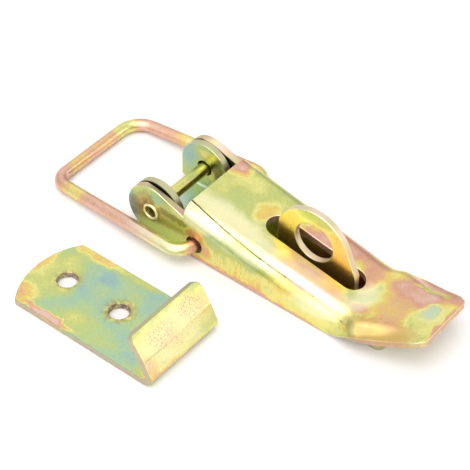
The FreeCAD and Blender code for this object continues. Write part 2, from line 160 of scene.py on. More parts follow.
def fold(bm, thickness, edge, shape):
    """Moves every point through shape(x, y, depth) and returns the bent plate's smooth normals.

    The round cut edges are marked in a layer named rim.
    """
    bm.normal_update()
    rim = bm.verts.layers.float.new("rim")
    flat = thickness / 2 - edge
    step = 0.01
    normals, moved = [], []
    for v in bm.verts:
        x, y, w = v.co
        q = math.copysign(min(1.0, max(0.0, abs(w) - flat) / edge), w)
        side = Vector((v.normal.x, v.normal.y, 0))
        if side.length > 1e-6:
            side.normalize()
        n = side * math.sqrt(max(0.0, 1 - q * q)) + Vector((0, 0, q))
        v[rim] = 1 - q * q
        across = shape(x + step, y, w) - shape(x - step, y, w)
        along = shape(x, y + step, w) - shape(x, y - step, w)
        deep = shape(x, y, w + step) - shape(x, y, w - step)
        spread = Matrix((across, along, deep)) * (0.5 / step)
        normals.append((spread.inverted_safe() @ n).normalized())
        moved.append(shape(x, y, w))
    for v, p in zip(bm.verts, moved):
        v.co = p
    return normals


def follow(s, depth, runs):
    """Point at arc length s along the outer line and depth into the sheet.

    Each run is (length, radius): 0 for a straight one, below 0 for one that bends back. The last
    one has no end. Gives the distance along the first heading and toward the inner side.
    """
    p, q, turn = 0.0, 0.0, 0.0
    for i, (length, radius) in enumerate(runs):
        last = i == len(runs) - 1
        part = s if last else min(s, length)
        if radius:
            a = part / radius
            p += radius * (math.sin(turn + a) - math.sin(turn))
            q += radius * (math.cos(turn) - math.cos(turn + a))
            turn += a
        else:
            p += part * math.cos(turn)
            q += part * math.sin(turn)
        s -= part
        if s <= 0:
            break
    return p - depth * math.sin(turn), q + depth * math.cos(turn)


def finish_piece(name, bm, normals, material, body, replaced):
    """Turns the bmesh into an object that rides on its body in place of its CAD node."""
    bmesh.ops.triangulate(bm, faces=bm.faces)
    for face in bm.faces:
        face.smooth = True
    mesh = bpy.data.meshes.new(name)
    bm.to_mesh(mesh)
    bm.free()
    mesh.transform(Matrix.Scale(MM, 4))
    if normals is not None:
        mesh.normals_split_custom_set_from_vertices(normals)
    mesh.materials.append(material)
    piece = bpy.data.objects.new(name, mesh)
    bpy.context.scene.collection.objects.link(piece)
    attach(piece, body)
    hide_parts(replaced)


# Materials

def feed(tree, socket, value):
    """Links the socket to another one's output, or sets it to a constant."""
    if isinstance(value, bpy.types.NodeSocket):
        tree.links.new(value, socket)
    else:
        socket.default_value = value


def add(tree, kind, settings=None, **inputs):
    """A node with its settings. Its inputs are named, or numbered as in i0."""
    node = tree.nodes.new(kind)
    for key, value in (settings or {}).items():
        setattr(node, key, value)
    for key, value in inputs.items():
        place = int(key[1:]) if key[0] == "i" and key[1:].isdigit() else key.replace("_", " ")
        feed(tree, node.inputs[place], value)
    return node


def math_node(tree, operation, a, b=0.0, c=0.0, clamp=False):
    node = add(tree, "ShaderNodeMath", {"operation": operation, "use_clamp": clamp}, i0=a, i1=b, i2=c)
    return node.outputs[0]


def times(tree, a, b):
    return math_node(tree, "MULTIPLY", a, b)


def smooth_range(tree, value, low, high, to_low=0.0, to_high=1.0):
    node = add(tree, "ShaderNodeMapRange", {"interpolation_type": "SMOOTHSTEP"},
               i0=value, i1=low, i2=high, i3=to_low, i4=to_high)
    return node.outputs[0]


def vector_node(tree, operation, a, b=(0, 0, 0), scale=1.0):
    node = add(tree, "ShaderNodeVectorMath", {"operation": operation}, i0=a, i1=b, i3=scale)
    return node.outputs["Value" if operation in ("LENGTH", "DOT_PRODUCT") else "Vector"]


def noise(tree, point, scale, detail, roughness=0.5):
    """Outputs of a noise with about so many waves in a millimetre."""
    node = add(tree, "ShaderNodeTexNoise", None,
               Vector=point, Scale=scale, Detail=detail, Roughness=roughness)
    return node.outputs


def vary(tree, value, by, amount):
    """The value with amount times a noise added to it, so that it sways both ways."""
    return math_node(tree, "MULTIPLY_ADD", math_node(tree, "SUBTRACT", by, 0.5), amount, value)


def mix_colour(tree, amount, a, b, blend="MIX"):
    node = tree.nodes.new("ShaderNodeMix")
    node.data_type = "RGBA"
    node.blend_type = blend
    for place, value in (("Factor_Float", amount), ("A_Color", a), ("B_Color", b)):
        feed(tree, next(i for i in node.inputs if i.identifier == place), value)
    return next(o for o in node.outputs if o.identifier == "Result_Color")


def rgba(colour):
    return (*colour[:3], 1.0)


def passivation(finish):
    """The yellow zinc finish: the thickness of a clear film sets its colour.

    Film runs from thin and blue through green, yellow and orange to pink.
    """
    group = bpy.data.node_groups.new("yellow_zinc_film", "ShaderNodeTree")
    for side, kind, names in (
            ("INPUT", "Vector", ("Point", "Grain Length")),
            ("INPUT", "Float", ("Film", "Blotch", "Mottle", "Speckle", "Streak", "Worn", "Rim", "Corner")),
            ("INPUT", "Color", ("Corner Color", "Cut Color")),
            ("OUTPUT", "Color", ("Base Color",)),
            ("OUTPUT", "Float", ("Roughness", "Height"))):
        for name in names:
            group.interface.new_socket(name, in_out=side, socket_type="NodeSocket" + kind)
    given = group.nodes.new("NodeGroupInput").outputs
    out = group.nodes.new("NodeGroupOutput")
    point = given["Point"]
    blotch = noise(group, point, 0.16, 3.0)[0]
    mottle = noise(group, point, 1.1, 4.0, 0.6)[0]
    film = vary(group, given["Film"], blotch, times(group, given["Blotch"], 2.0))
    film = vary(group, film, mottle, times(group, given["Mottle"], 2.0))
    grain_point = vector_node(group, "MULTIPLY", point, given["Grain Length"])
    grain = noise(group, grain_point, 1.5, 5.0, 0.6)[0]
    film = vary(group, film, grain, given["Streak"])
    spots = noise(group, point, 3.2, 3.0, 0.7)[0]
    spot = times(group, smooth_range(group, spots, 0.46, 0.58), given["Speckle"])
    film = math_node(group, "MULTIPLY_ADD", spot, 0.3, film)
    ramp = group.nodes.new("ShaderNodeValToRGB")
    stops = [(0.0, finish.film_blue), (0.13, finish.film_teal), (0.28, finish.film_green),
             (0.43, finish.film_lime), (0.56, finish.film_yellow), (0.68, finish.film_gold),
             (0.78, finish.film_orange), (0.88, finish.film_pink), (1.0, finish.film_rose)]
    elements = ramp.color_ramp.elements
    while len(elements) < len(stops):
        elements.new(0.5)
    for element, (place, colour) in zip(elements, stops):
        element.position = place
        element.color = rgba(colour)
    group.links.new(film, ramp.inputs[0])
    # darker grain, pale places for rubbed zinc and painted highlight, and specks
    colour = mix_colour(group, times(group, smooth_range(group, grain, 0.5, 0.72), 0.2),
                        ramp.outputs[0], rgba(finish.film_green), "MULTIPLY")
    colour = mix_colour(group, given["Worn"], colour, rgba(finish.bare_zinc))
    colour = mix_colour(group, times(group, spot, 0.3), colour, rgba(finish.dark_tint))
    # the rim goes from 0 on the flat over the rounded corner to 1 on the sheared wall
    rim = vary(group, given["Rim"], mottle, 0.5)
    sheared = smooth_range(group, rim, 0.6, 0.9)
    wall = mix_colour(group, smooth_range(group, blotch, 0.35, 0.62, 0.45, 0.95),
                      ramp.outputs[0], given["Cut Color"])
    colour = mix_colour(group, sheared, colour, wall)
    # the rounded corner takes the corner colour; the pale zinc there is a painted highlight along the cut
    # edges
    corner = times(group, smooth_range(group, rim, 0.04, 0.2),
                   smooth_range(group, rim, 0.5, 0.75, 1.0, 0.0))
    colour = mix_colour(group, times(group, corner, given["Corner"]), colour, given["Corner Color"])
    rough = math_node(group, "MULTIPLY_ADD", mottle, 0.16, finish.roughness - 0.08)
    rough = math_node(group, "MULTIPLY_ADD", spot, 0.15, rough)
    rough = math_node(group, "MULTIPLY_ADD", sheared, 0.2, rough)
    height = math_node(group, "MULTIPLY_ADD", spots, 0.35, times(group, grain, 0.65))
    group.links.new(colour, out.inputs["Base Color"])
    group.links.new(rough, out.inputs["Roughness"])
    group.links.new(height, out.inputs["Height"])
    return group


def near_patch(tree, point, centre, size, amount):
    """The amount at the centre, falling softly to nothing at the patch's reach."""
    away = vector_node(tree, "SUBTRACT", point, centre)
    away = vector_node(tree, "MULTIPLY", away, [1 / v for v in size])
    return smooth_range(tree, vector_node(tree, "LENGTH", away), 0.4, 1.3, amount, 0.0)


def patch_sum(tree, point, start, patches):
    """A plain amount with more of it in the given patches."""
    total = start
    for patch in patches:
        total = math_node(tree, "ADD", near_patch(tree, point, *patch), total, clamp=True)
    return total


FILM_DRIFT = 1.6    # how far the patches' borders wander, in millimetres
FILM_RELIEF = 0.035


def zinc_material(name, finish, film, patches, blotch, mottle, speckle, speckled=(), streaked=(), worn=(),
                  grain=(1, 1, 1), corner=0.5, corner_tint=None, cut=None, lines=(), stains_and_shade=()):
    """Passivated steel.

    Each patch is (centre, size, film thickness) and may end in its strength. Each of the speckled,
    streaked and pale places is (centre, size, amount), each stain (centre, size, tint, amount), and
    each line (from, to, width, tint, amount). Places and sizes are in millimetres. Pale places mix in
    bare zinc, for rubbed zinc and for painted highlight; stains and lines carry real marks and painted
    shade.
    """
    material = bpy.data.materials.new(name)
    material.use_nodes = True
    tree = material.node_tree
    shader = tree.nodes["Principled BSDF"]
    coords = tree.nodes.new("ShaderNodeTexCoord")
    point = vector_node(tree, "SCALE", coords.outputs["Object"], scale=1 / MM)
    wander = vector_node(tree, "SUBTRACT", noise(tree, point, 0.3, 3.0)[1], (0.5, 0.5, 0.5))
    bent = vector_node(tree, "ADD", point, vector_node(tree, "SCALE", wander, scale=2 * FILM_DRIFT))
    thickness = film
    for centre, size, target, *strength in patches:
        near = near_patch(tree, bent, centre, size, strength[0] if strength else 1.0)
        blend = add(tree, "ShaderNodeMix", {"data_type": "FLOAT"}, i0=near, i2=thickness, i3=target)
        thickness = blend.outputs[0]
    rim = add(tree, "ShaderNodeAttribute", {"attribute_name": "rim"}).outputs["Fac"]
    group = bpy.data.node_groups.get("yellow_zinc_film") or passivation(finish)
    skin = add(tree, "ShaderNodeGroup", {"node_tree": group},
               Point=point, Film=thickness, Rim=rim, Blotch=blotch, Mottle=mottle,
               Speckle=patch_sum(tree, bent, speckle, speckled),
               Streak=patch_sum(tree, bent, 0.0, streaked), Worn=patch_sum(tree, bent, 0.0, worn),
               Grain_Length=grain, Corner=corner, Corner_Color=rgba(corner_tint or finish.bare_zinc),
               Cut_Color=rgba(cut or finish.cut_edge))
    colour = skin.outputs["Base Color"]
    for a, b, width, tint, amount in lines:
        mark = times(tree, scored_line(tree, point, a, b, width), amount)
        colour = mix_colour(tree, mark, colour, rgba(tint))
    for centre, size, tint, amount in stains_and_shade:
        colour = mix_colour(tree, near_patch(tree, point, centre, size, amount), colour, rgba(tint))
    tree.links.new(colour, shader.inputs["Base Color"])
    tree.links.new(skin.outputs["Roughness"], shader.inputs["Roughness"])
    relief = add(tree, "ShaderNodeBump", None,
                 Strength=1.0, Distance=FILM_RELIEF * MM, Height=skin.outputs["Height"])
    tree.links.new(relief.outputs[0], shader.inputs["Normal"])
    shader.inputs["Metallic"].default_value = 1.0
    return material


def scored_line(tree, point, a, b, width):
    """Mask along the straight line from a to b, its width broken up by a noise."""
    a, b = Vector(a), Vector(b)
    run = b - a
    rel = vector_node(tree, "SUBTRACT", point, a)
    along = vector_node(tree, "DOT_PRODUCT", rel, run)
    along = math_node(tree, "DIVIDE", along, run.length_squared, clamp=True)
    foot = vector_node(tree, "SCALE", run, scale=along)
    gap = vector_node(tree, "LENGTH", vector_node(tree, "SUBTRACT", rel, foot))
    broken = noise(tree, point, 0.9, 4.0, 0.7)[0]
    reach = times(tree, smooth_range(tree, broken, 0.25, 0.6, 0.5, 1.3), width)
    return smooth_range(tree, math_node(tree, "DIVIDE", gap, reach), 0.4, 1.0, 1.0, 0.0)


# Painted shade in the narrow gaps between the lever's ears and the base's
GAP_SHADE = (0.05, 0.035, 0.02)


def gap_shade(y, length):
    return [((0, side * y, PIVOT_Z), (length, 0.3, length), GAP_SHADE, 0.9) for side in (-1, 1)]


# Lever

# Sections: x, half width and height of the edge, radius and angle of the fold, radius of the
# lip and slope left at its edge
FRONT_FOLD_R = 3.4
SECTIONS = [
    (50.0, HALF, SEAT_GAP, 5.4, 90.0, 3.0, 90.0),
    (54.0, HALF, SEAT_GAP, 5.6, 88.0, 3.0, 88.0),
    (57.0, 12.9, 1.3, 5.4, 77.0, 2.8, 62.0),
    (60.5, 13.45, 3.8, 4.2, 61.0, 2.6, 35.0),
    (64.7, 12.8, 5.45, 4.2, 42.0, 4.0, 14.0),
    (69.0, 11.75, 6.9, 5.0, 28.0, 5.0, 5.0),
    (73.0, 10.7, 8.35, 6.0, 18.0, 6.0, 2.0),
    (77.5, 9.5, 10.05, 7.0, 6.0, 7.0, 1.0),
    (82.0, 8.3, 10.85, 7.0, 6.0, 7.0, 1.0),
]


def top_line(x):
    """Height of the lever's top along its middle, with a round bend into the tab."""
    a, b = math.atan(TOP_FALL), math.atan(TAB_RISE)
    reach = TAB_BEND_R * math.tan((a + b) / 2)
    meet_z = TOP_Z - TOP_FALL * (TAB_X - TOP_X)
    x0, x1 = TAB_X - reach * math.cos(a), TAB_X + reach * math.cos(b)
    if x <= x0:
        return TOP_Z - TOP_FALL * (x - TOP_X)
    if x >= x1:
        return meet_z + TAB_RISE * (x - TAB_X)
    cx = x0 + TAB_BEND_R * math.sin(a)
    cz = meet_z + reach * math.sin(a) + TAB_BEND_R * math.cos(a)
    return cz - math.sqrt(TAB_BEND_R ** 2 - (x - cx) ** 2)


def lever_section(x):
    """Half width, edge height, radius and angle of the fold, radius and slope of the lip at x."""
    t = SECTIONS
    x0, r0 = t[0][0], t[0][3]
    widening = (r0 - FRONT_FOLD_R) / (x0 - TOP_X)
    if x <= x0:
        return HALF, SEAT_GAP, r0 - widening * (x0 - x), math.pi / 2, t[0][5], math.pi / 2
    i = min(max(k for k in range(len(t)) if t[k][0] <= x), len(t) - 2)
    x0, x1 = t[i][0], t[i + 1][0]
    u = (x - x0) / (x1 - x0)
    out = []
    for c in range(1, 7):
        lo, hi = t[max(i - 1, 0)], t[min(i + 2, len(t) - 1)]
        m0 = (t[i + 1][c] - lo[c]) / (x1 - lo[0]) * (x1 - x0)
        m1 = (hi[c] - t[i][c]) / (hi[0] - x0) * (x1 - x0)
        if i == 0:    # only the fold's radius changes before the first section
            m0 = 0.0 if c != 3 else widening * (x1 - x0)
        out.append((2 * u ** 3 - 3 * u ** 2 + 1) * t[i][c] + (u ** 3 - 2 * u ** 2 + u) * m0
                   + (3 * u ** 2 - 2 * u ** 3) * t[i + 1][c] + (u ** 3 - u ** 2) * m1)
    fold = min(out[3], 90.0)
    return out[0], out[1], out[2], math.radians(fold), out[4], math.radians(min(out[5], fold))


def lever_runs(x):
    """Flat, fold, leg and lip of half a section, as runs, and the full length along them."""
    half, edge_z, r, a, lip_r, e = lever_section(x)
    s, c = math.sin(a), math.cos(a)
    leg = max((top_line(x) - edge_z - r * (1 - c) - lip_r * (math.cos(e) - c)) / s, 0.01)
    flat = half - r * s - leg * c - lip_r * (s - math.sin(e))
    runs = [(flat, 0), (r * a, r), (leg, 0), (lip_r * (a - e), -lip_r), (0, 0)]
    return runs, sum(length for length, _ in runs)


def lever_shape(x, y, w):
    """Place in the folded lever of a point of its blank, w above the sheet's middle."""
    runs, _ = lever_runs(x)
    p, q = follow(abs(y), SHEET / 2 - w, runs)
    return Vector((x, math.copysign(p, y), top_line(x) - q))


def flange_s(x, z):
    """Arc length from the middle to height z on the upright flange at x."""
    runs, _ = lever_runs(x)
    r = runs[1][1]
    return runs[0][0] + runs[1][0] + top_line(x) - r - z


def tangent_angle(cx, cz, r, px, pz, upper):
    """Where the tangent from a point touches a circle, in degrees."""
    d = math.hypot(px - cx, pz - cz)
    return math.degrees(math.atan2(pz - cz, px - cx) + math.acos(r / d) * (1 if upper else -1))


def lever_outline():
    """Half of the blank, from the front edge of the top round the ear and back to the tab's end."""
    shoulder_z = TOP_Z - FRONT_FOLD_R
    up = tangent_angle(0, PIVOT_Z, LOBE_R, TOP_X, shoulder_z, True)
    low = tangent_angle(0, PIVOT_Z, LOBE_R, TOP_X, SEAT_GAP, False) % 360
    ear = [(TOP_X, shoulder_z)] + arc_points(0, PIVOT_Z, LOBE_R, up, low, 40) + [(TOP_X, SEAT_GAP)]
    half = [(x, flange_s(x, z)) for x, z in divide_open(ear, 1.0)]
    x = TOP_X + 1.0
    end = TAB_END - TAB_CORNER_R
    while x < end:
        half.append((x, lever_runs(x)[1]))
        x += 1.0
    edge = lever_runs(TAB_END)[1]
    half.append((end, lever_runs(end)[1]))
    for px, py in arc_points(end, edge - TAB_CORNER_R, TAB_CORNER_R, 80, 0, 8):
        half.append((px, py))
    return half


def obround(x0, x1, w, steps=14):
    r = w / 2
    return arc_points(x1 - r, 0, r, -90, 90, steps) + arc_points(x0 + r, 0, r, 90, 270, steps)


def hole_in_flange(x, z, r, side, steps=30):
    return [(px, side * flange_s(px, pz)) for px, pz in circle_points(x, z, r, steps)]


# Film on the lever: centre, size, thickness and at times strength
LEVER_PATCHES = [
    # top plate
    ((12, 8.5, 15), (3.5, 3.5, 5), 0.92),
    ((17, 6, 14), (5, 3, 4), 0.58, 0.5),
    ((20, 0, 13), (8, 5, 5), 0.37, 0.6),
    ((20, -8, 14), (16, 4.5, 5), 0.56),
    ((25.5, 1, 12.5), (3, 4, 5), 0.72, 0.8),
    ((45, -7.5, 9), (11, 4.5, 5), 0.95),
    ((47, 8.5, 9), (13, 5, 5), 0.86),
    ((55.5, 4, 8), (3.4, 7, 4), 0.86, 0.9),
    ((39.5, 4.2, 10.5), (6, 2, 4), 0.92),
    ((43, -4.3, 10), (13, 1.1, 3), 0.76, 0.8),
    # tab
    ((69, 0, 8.8), (9.5, 16, 5), 0.77),
    ((57.6, -9.6, 7), (2.2, 3.6, 3), 0.52, 0.9),
    ((60.8, -12.5, 7), (1.8, 2.2, 3), 0.22),
    ((58.8, 4.2, 7), (1.3, 2.2, 3), 0.4, 0.5),
    ((59.4, -6.6, 7), (2.6, 2, 3), 0.92, 0.8),
    ((66, -3, 8), (3.4, 3, 4), 0.7, 0.7),
    ((65, -11, 8), (4.5, 3.6, 4), 0.72),
    ((73.6, -3, 9.5), (4.2, 5, 4), 0.47),
    ((67, 5.4, 8.4), (10, 3.6, 4), 0.93),
    ((67, 11, 8.5), (12, 2.8, 4), 0.9),
    ((70.2, 7.9, 9), (6, 0.8, 3), 0.36, 0.8),
    ((74.4, 1.2, 9.6), (2.4, 2.4, 4), 0.16),
    ((78.9, 0, 10.5), (0.9, 11, 3), 0.92, 0.8),
    ((77.5, 8.4, 10), (3, 3, 3), 0.9),
    ((70, -13, 8), (11, 1.0, 3), 0.9),
    ((68, -11.5, 8), (6, 2.4, 4), 0.68),
    # near flank
    ((18, -12.6, 9.3), (9, 2, 2.2), 0.33),
    ((29, -12.6, 7.6), (9, 2, 2.0), 0.38),
    ((39, -12.6, 5.8), (8, 2, 1.8), 0.6),
    ((24, -12.6, 3.6), (14, 2, 3.2), 0.55),
    ((38, -12.6, 2.2), (12, 2, 2.2), 0.55),
    ((31, -12.6, 2.6), (5, 2, 1.8), 0.7, 0.7),
    ((17, -12.6, 4.6), (2.6, 2, 2.4), 0.8, 0.8),
    ((14, -12.6, 8), (3.5, 2, 2.4), 0.8),
    ((28, -12.6, 0.3), (28, 2, 1.4), 0.92),
    ((50, -12.6, 4), (8, 3, 3.2), 0.54),
    # near ear
    ((4, -12.6, 3), (7, 2, 3.2), 0.38),
    ((-1, -12.6, 9.5), (3.6, 2, 3.2), 0.72, 0.75),
    ((-6.5, -12.6, 7), (2.6, 2, 5), 0.08),
    ((2, -12.6, 13), (3, 2, 1.8), 0.2),
    ((9, -12.6, 5), (3, 2, 2), 0.5),
    # far flank
    ((16, 12.6, 8), (9, 2, 4), 0.78),
    ((38, 12.6, 4), (14, 2, 3), 0.72),
    ((28, 12.6, 0.3), (28, 2, 1.4), 0.92),
    ((-3, 12.6, 5), (4, 2, 5), 0.1),
]
# Pale zinc: painted highlight along the near fold and the near strip of the top, and paler patches on the
# tab
LEVER_PALE_AND_HIGHLIGHT = [
    ((19, -6.8, 13.5), (17, 4.0, 4), 0.5),
    ((38, -8, 10.5), (10, 3.6, 4), 0.4),
    ((50, -7.5, 8), (9, 3.8, 4), 0.25),
    ((58.4, -3, 7), (3, 6, 4), 0.45),
    ((74.4, 0.5, 9.6), (3, 3.4, 4), 0.3),
    ((17, -12, 12.2), (10, 1.4, 2.4), 0.85),
    ((32, -12, 9.8), (10, 1.4, 1.8), 0.5),
    ((50, -12, 5.4), (8, 2.0, 2.0), 0.4),
]


# Mark of the folding die along the near fold, with the strength of each stretch
DIE_LINE = [(10.6, -9.25, 15.4), (16.75, -9.98, 14.17), (23, -10.51, 12.7), (33, -10.8, 10.48),
            (40.5, -10.66, 9.03), (48.75, -10.38, 7.56), (57.75, -11.24, 5.43)]
DIE_MARK = (0.95, 0.9, 0.8, 0.7, 0.6, 0.4)


def build_lever(finish):
    half = lever_outline()
    outline = divide(half + [(x, -s) for x, s in reversed(half)], 1.0)
    holes = [divide(obround(SLOT_X0, SLOT_X1, SLOT_W), 1.0)]
    for side in (-1, 1):
        holes.append(hole_in_flange(0, PIVOT_Z, RIVET_R + RIVET_FIT, side))
        holes.append(hole_in_flange(*BAIL_HOLE, side))
    bm = blank([outline] + holes, SHEET)
    # closer together where the sheet bends most
    slice_across(bm, "x", [TOP_X + 2.2 * i for i in range(18)] + [50.5 + 0.9 * i for i in range(32)])
    slice_across(bm, "y", [side * (5.0 + 0.45 * i) for i in range(30) for side in (-1, 1)]
                 + [side * i for i in range(5) for side in (-1, 1)])
    normals = fold(bm, SHEET, EDGE, lever_shape)
    lines = [(a, b, 0.3, (0.10, 0.08, 0.04), amount)
             for a, b, amount in zip(DIE_LINE, DIE_LINE[1:], DIE_MARK)]
    # painted shade, brown along the tab's near fold, then behind, over and round the rivet
    lines += [
        ((62, -11.2, 6.6), (73, -9, 9.2), 4.4, (0.50, 0.32, 0.13), 0.6),
        ((3.6, -12.6, 10.2), (10.5, -12.6, 9.6), 1.3, (0.16, 0.15, 0.03), 0.65),
        ((-4.5, -12.6, 9), (-1, -12.6, 11.4), 2.8, (0.25, 0.18, 0.08), 0.55),
        ((-0.2, -12.6, 8.3), (0.3, -12.6, 7.9), 3.4, (0.12, 0.10, 0.05), 0.7),
    ]
    # painted shade in the gaps, and lime low on the near ear and pink beside the slot
    stains_and_shade = gap_shade(HALF - SHEET - 0.05, 14) + [
        ((3.5, -12.6, 3.2), (8, 2, 3.2), (0.72, 0.92, 0.26), 0.65),
        ((47, -7.6, 9), (12, 3.2, 4), (0.90, 0.62, 0.50), 0.45),
    ]
    material = zinc_material(
        "lever_zinc", finish, 0.42, LEVER_PATCHES, blotch=0.16, mottle=0.05, speckle=0.15,
        streaked=[((27, -12.6, 4), (12, 2.5, 4), 0.8)], worn=LEVER_PALE_AND_HIGHLIGHT,
        grain=(1.0, 1.0, 0.12), cut=(0.60, 0.41, 0.35), lines=lines, stains_and_shade=stains_and_shade)
    finish_piece("lever_pressing", bm, normals, material, "lever", "lever")


# Base

def base_s(z):
    """Arc length from the middle to height z on the ear's outer side."""
    flat = BASE_HALF - BASE_BEND_R
    if z >= BASE_BEND_R:
        return flat + BASE_BEND_R * math.pi / 2 + z - BASE_BEND_R
    return flat + BASE_BEND_R * math.acos(1 - z / BASE_BEND_R)


def base_shape(x, y, w):
    depth = w + SHEET / 2
    if x > EAR_REAR - RELIEF / 2:
        return Vector((x, y, depth))
    runs = [(BASE_HALF - BASE_BEND_R, 0), (BASE_BEND_R * math.pi / 2, BASE_BEND_R), (0, 0)]
    p, q = follow(abs(y), depth, runs)
    return Vector((x, math.copysign(p, y), q))


def base_outline():
    """Half of the blank, from the floor's front edge round the ear to the rear end."""
    back = EAR_REAR - RELIEF
    tangent = tangent_angle(0, PIVOT_Z, LOBE_R, back, SHEET, True)
    ear = [(FLOOR_FRONT, EAR_TOE_Z)]
    ear += arc_points(-LOBE_R + EAR_TOE_R, EAR_TOE_Z + EAR_TOE_R, EAR_TOE_R, 270, 180, 8)
    ear += arc_points(0, PIVOT_Z, LOBE_R, 180, tangent, 36)
    ear += [(back, SHEET)]
    half = [(FLOOR_FRONT, 0.0)] + [(x, base_s(z)) for x, z in divide_open(ear, 0.8)]
    half += [(x, BASE_HALF - BASE_BEND_R) for x in (back, EAR_REAR)] + [(EAR_REAR, FLOOR_HALF)]
    half += arc_points(FLOOR_END - FLOOR_CORNER_R, FLOOR_HALF - FLOOR_CORNER_R, FLOOR_CORNER_R, 90, 0, 8)
    return half + [(FLOOR_END, 0.0)]


def build_base(finish):
    half = base_outline()
    outline = divide(half + [(x, -s) for x, s in reversed(half[1:-1])], 1.2)
    holes = [circle_points(x, 0, SCREW_R) for x in BASE_SCREWS]
    w, t = TENON_W / 2, EYE_T / 2 + TENON_FIT
    holes += [[(x - w, -t), (x + w, -t), (x + w, t), (x - w, t)] for x in TENON_X]
    for side in (-1, 1):
        holes.append([(x, side * base_s(z)) for x, z in circle_points(0, PIVOT_Z, PLAY_R)])
    bm = blank([outline] + holes, SHEET, EDGE_BASE)
    slice_across(bm, "x", [EAR_REAR - RELIEF / 2, 4.0, 0.0, -4.0] + [12.0 + 4 * i for i in range(14)])
    slice_across(bm, "y", [side * (BASE_HALF - BASE_BEND_R + 0.26 * i)
                           for i in range(13) for side in (-1, 1)])
    normals = fold(bm, SHEET, EDGE_BASE, base_shape)
    material = zinc_material("base_zinc", finish, 0.34, [
        ((-5, 8.5, 11), (3, 3, 6), 0.06),
        ((1.5, 8.5, 13), (4, 3, 2), 0.58),
        ((6, 8.5, 6), (4, 3, 4), 0.72),
        ((1, 2, 2), (9, 9, 2), 0.04),
        ((42, 0, 2), (22, 12, 2), 0.93),
        ((64, 0, 1), (10, 12, 4), 0.5),
    ], blotch=0.2, mottle=0.06, speckle=0.25, worn=[((1, 2, 2), (9, 8, 2), 0.3)], cut=(0.54, 0.46, 0.35),
        # painted shade inside the far ear, in the gaps by the ears, and in brown on the floor under the
        # slot
        lines=[((4, 8.25, 9.5), (8, 8.25, 5), 3.0, (0.20, 0.15, 0.03), 0.75)],
        stains_and_shade=gap_shade(BASE_HALF + 0.05, 20) + [((42, 0, 2), (26, 14, 3), (0.22, 0.12, 0.08), 0.55)])
    finish_piece("base_pressing", bm, normals, material, "base", "base_plate")


# Padlock eye

def build_eye(finish):
    cx, cz, r = EYE_ARC
    front = EYE_X0 + EYE_LEAN
    start = tangent_angle(cx, cz, r, EYE_X1, EYE_REAR_Z, True)
    end = math.degrees(math.atan2(math.sqrt(r * r - (cx - front) ** 2), front - cx))
    outline = [(EYE_X1, SHEET), (EYE_X1, EYE_REAR_Z)] + arc_points(cx, cz, r, start, end, 60)
    outline += [(EYE_X0, SHEET)]
    for x in TENON_X:
        x0, x1 = x - TENON_W / 2, x + TENON_W / 2
        outline += [(x0, SHEET), (x0, TENON_END), (x1, TENON_END), (x1, SHEET)]
    bm = blank([divide(outline, 1.5), circle_points(*EYE_HOLE, 64)], EYE_T, EDGE_EYE, 4)
    normals = fold(bm, EYE_T, EDGE_EYE, lambda x, y, w: Vector((x, -w, y)))
    material = zinc_material("eye_zinc", finish, 0.62, [
        ((32.5, 0, 16), (5, 3, 7), 0.69),
        ((42, 0, 21.8), (9, 3, 3), 0.42),
        ((50, 0, 15), (4, 3, 6), 0.69),
    ], blotch=0.06, mottle=0.05, speckle=0.15, streaked=[((42, 0, 11), (20, 3, 14), 0.15)],
        grain=(1.0, 1.0, 0.12), corner=0.8, cut=(0.72, 0.60, 0.46))
    finish_piece("eye_blank", bm, normals, material, "base", "padlock_eye")


# Rivet

def rivet_profile():
    """Radius and y along the rivet's skin, from inside the rolled end to the far head."""
    near, far = -HALF, HALF
    bore, roll, lip = 1.55, RIVET_ROLL_R, 0.43
    head, head_rim = RIVET_HEAD_R, 0.3
    points = [(0.0, near + 2.6), (0.7, near + 2.55), (bore, near + 2.0), (bore, near - 0.1)]
    centre = (bore + roll) / 2
    points += [(centre + lip * math.cos(math.radians(a)), near - 0.12 + lip * math.sin(math.radians(a)))
               for a in range(180, 361, 15)]
    points += [(roll, near - 0.01), (RIVET_R, near - 0.01), (RIVET_R, far),
               (head - 0.08, far), (head, far + 0.08)]
    points += [(head * math.cos(math.radians(a)) ** 0.6,
                far + head_rim + (RIVET_HEAD_H - head_rim) * math.sin(math.radians(a)))
               for a in range(0, 90, 9)]
    return points + [(0.0, far + RIVET_HEAD_H)]


def build_rivet(finish, steps=72):
    bm = bmesh.new()
    rings = []
    for radius, y in rivet_profile():
        if radius == 0:
            rings.append([bm.verts.new((0, y, PIVOT_Z))])
        else:
            rings.append([bm.verts.new((x, y, z)) for x, z in circle_points(0, PIVOT_Z, radius, steps)])
    for a, b in zip(rings, rings[1:]):
        join_rings(bm, a, b)
    bmesh.ops.recalc_face_normals(bm, faces=bm.faces)
    mark_sharp(bm, 40)
    material = zinc_material(
        "rivet_zinc", finish, 0.5, [((0, 5, 8), (4, 5, 4), 0.4)], blotch=0.08, mottle=0.05,
        # pale round the rolled lip: rubbed zinc with painted highlight
        speckle=0.3, worn=[((0, -13.2, 8), (4, 1.2, 4), 0.55)],
        # the dark line down the middle is painted shade in the hollow bore
        lines=[((0, -12.3, 8), (0, -9, 8), 1.7, (0.05, 0.04, 0.03), 0.95)])    # dark bore
    finish_piece("rivet_turned", bm, None, material, "lever", "pivot_rivet")


def join_rings(bm, a, b):
    """Faces between two rings of points, or a ring and the point at its end."""
    n = max(len(a), len(b))
    for i in range(n):
        j = (i + 1) % n
        corners = [a[i % len(a)], a[j % len(a)], b[j % len(b)], b[i % len(b)]]
        loop = [v for k, v in enumerate(corners) if v not in corners[:k]]
        if len(loop) > 2:
            bm.faces.new(loop)


def mark_sharp(bm, angle):
    for edge in bm.edges:
        if len(edge.link_faces) == 2 and edge.calc_face_angle(0) > math.radians(angle):
            edge.smooth = False


# Bail

